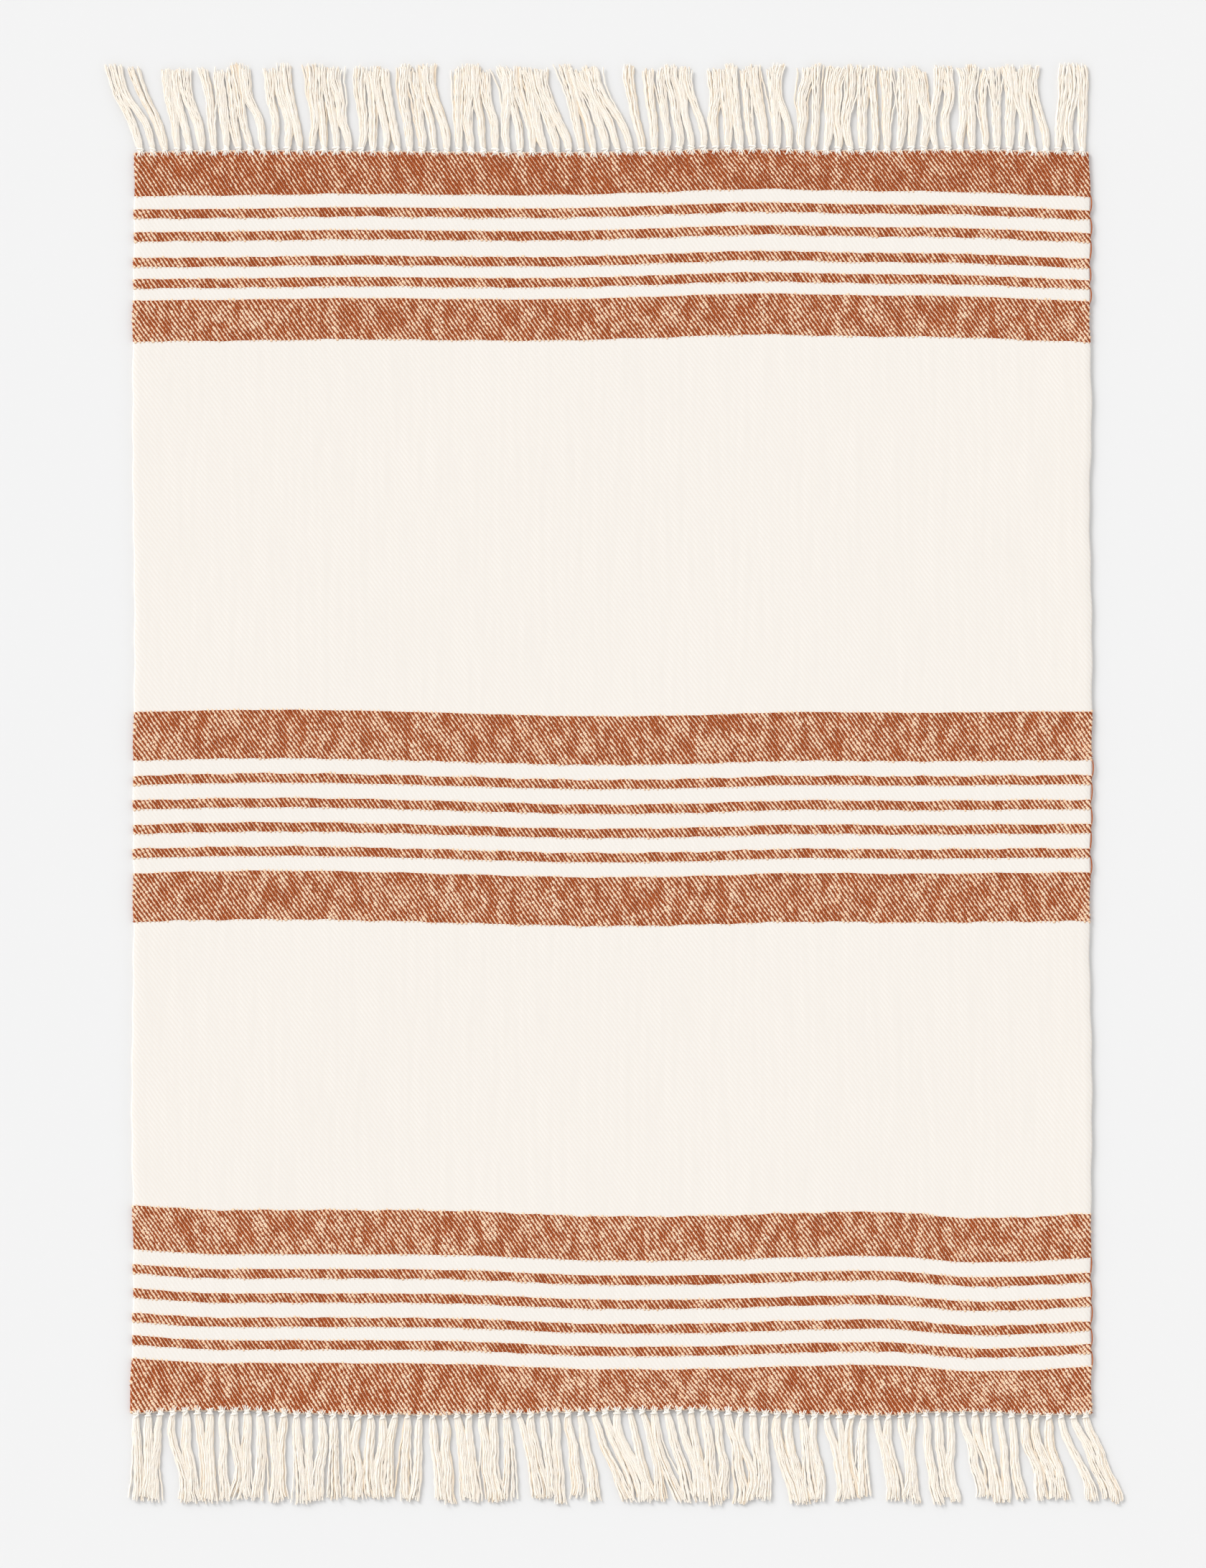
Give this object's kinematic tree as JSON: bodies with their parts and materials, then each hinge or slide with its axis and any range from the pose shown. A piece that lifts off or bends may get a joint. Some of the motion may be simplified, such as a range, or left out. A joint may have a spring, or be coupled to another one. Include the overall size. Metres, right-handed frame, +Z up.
{
  "type": "bath mat",
  "caption": "Flat-woven cotton bath mat, cream with groups of rust stripes across it and a knotted tassel fringe at both ends. It folds in half.",
  "frame": {"origin": "under the middle of the mat, on the surface it lies on", "axes": "+X across the width towards the selvedge with the carried yarn, +Y along the length towards the far fringe, +Z up"},
  "size_m": [0.6478, 0.9144, 0.0024],
  "materials": {
    "rust_weft": "matte woven cotton, rust weft under cream warp floats",
    "cream_weft": "matte woven cotton, off-white",
    "hem_thread": "matte twisted cotton thread, off-white",
    "knots": "matte cotton yarn, tied, off-white",
    "tassels": "loose matte cotton yarn, warm off-white",
    "carried_rust_yarn": "matte cotton yarn, rust"
  },
  "bodies": {
    "near_half": {"carried_yarn_middle_near": "carried_rust_yarn", "carried_yarn_near": "carried_rust_yarn", "fringe_tassels_near": "tassels", "hem_knots_near": "knots", "hem_thread_near": "hem_thread", "middle_gap_2": "cream_weft", "middle_gap_3": "cream_weft", "middle_gap_4": "cream_weft", "middle_gap_5": "cream_weft", "middle_near_band": "rust_weft", "middle_stripe_2": "rust_weft", "middle_stripe_3": "rust_weft", "middle_stripe_4": "rust_weft", "near_field": "cream_weft", "near_gap_1": "cream_weft", "near_gap_2": "cream_weft", "near_gap_3": "cream_weft", "near_gap_4": "cream_weft", "near_gap_5": "cream_weft", "near_inner_band": "rust_weft", "near_outer_band": "rust_weft", "near_stripe_1": "rust_weft", "near_stripe_2": "rust_weft", "near_stripe_3": "rust_weft", "near_stripe_4": "rust_weft"},
    "far_half": {"carried_yarn_far": "carried_rust_yarn", "carried_yarn_middle_far": "carried_rust_yarn", "far_field": "cream_weft", "far_gap_1": "cream_weft", "far_gap_2": "cream_weft", "far_gap_3": "cream_weft", "far_gap_4": "cream_weft", "far_gap_5": "cream_weft", "far_inner_band": "rust_weft", "far_outer_band": "rust_weft", "far_stripe_1": "rust_weft", "far_stripe_2": "rust_weft", "far_stripe_3": "rust_weft", "far_stripe_4": "rust_weft", "fringe_tassels_far": "tassels", "hem_knots_far": "knots", "hem_thread_far": "hem_thread", "middle_far_band": "rust_weft", "middle_gap_1": "cream_weft", "middle_stripe_1": "rust_weft"}
  },
  "joints": [
    {"name": "fold_in_half", "type": "hinge", "parent": "near_half", "child": "far_half", "pos_m": [0, -0.00112, 0.003], "axis": [1, 0, 0], "range_deg": [0, 180]}
  ]
}
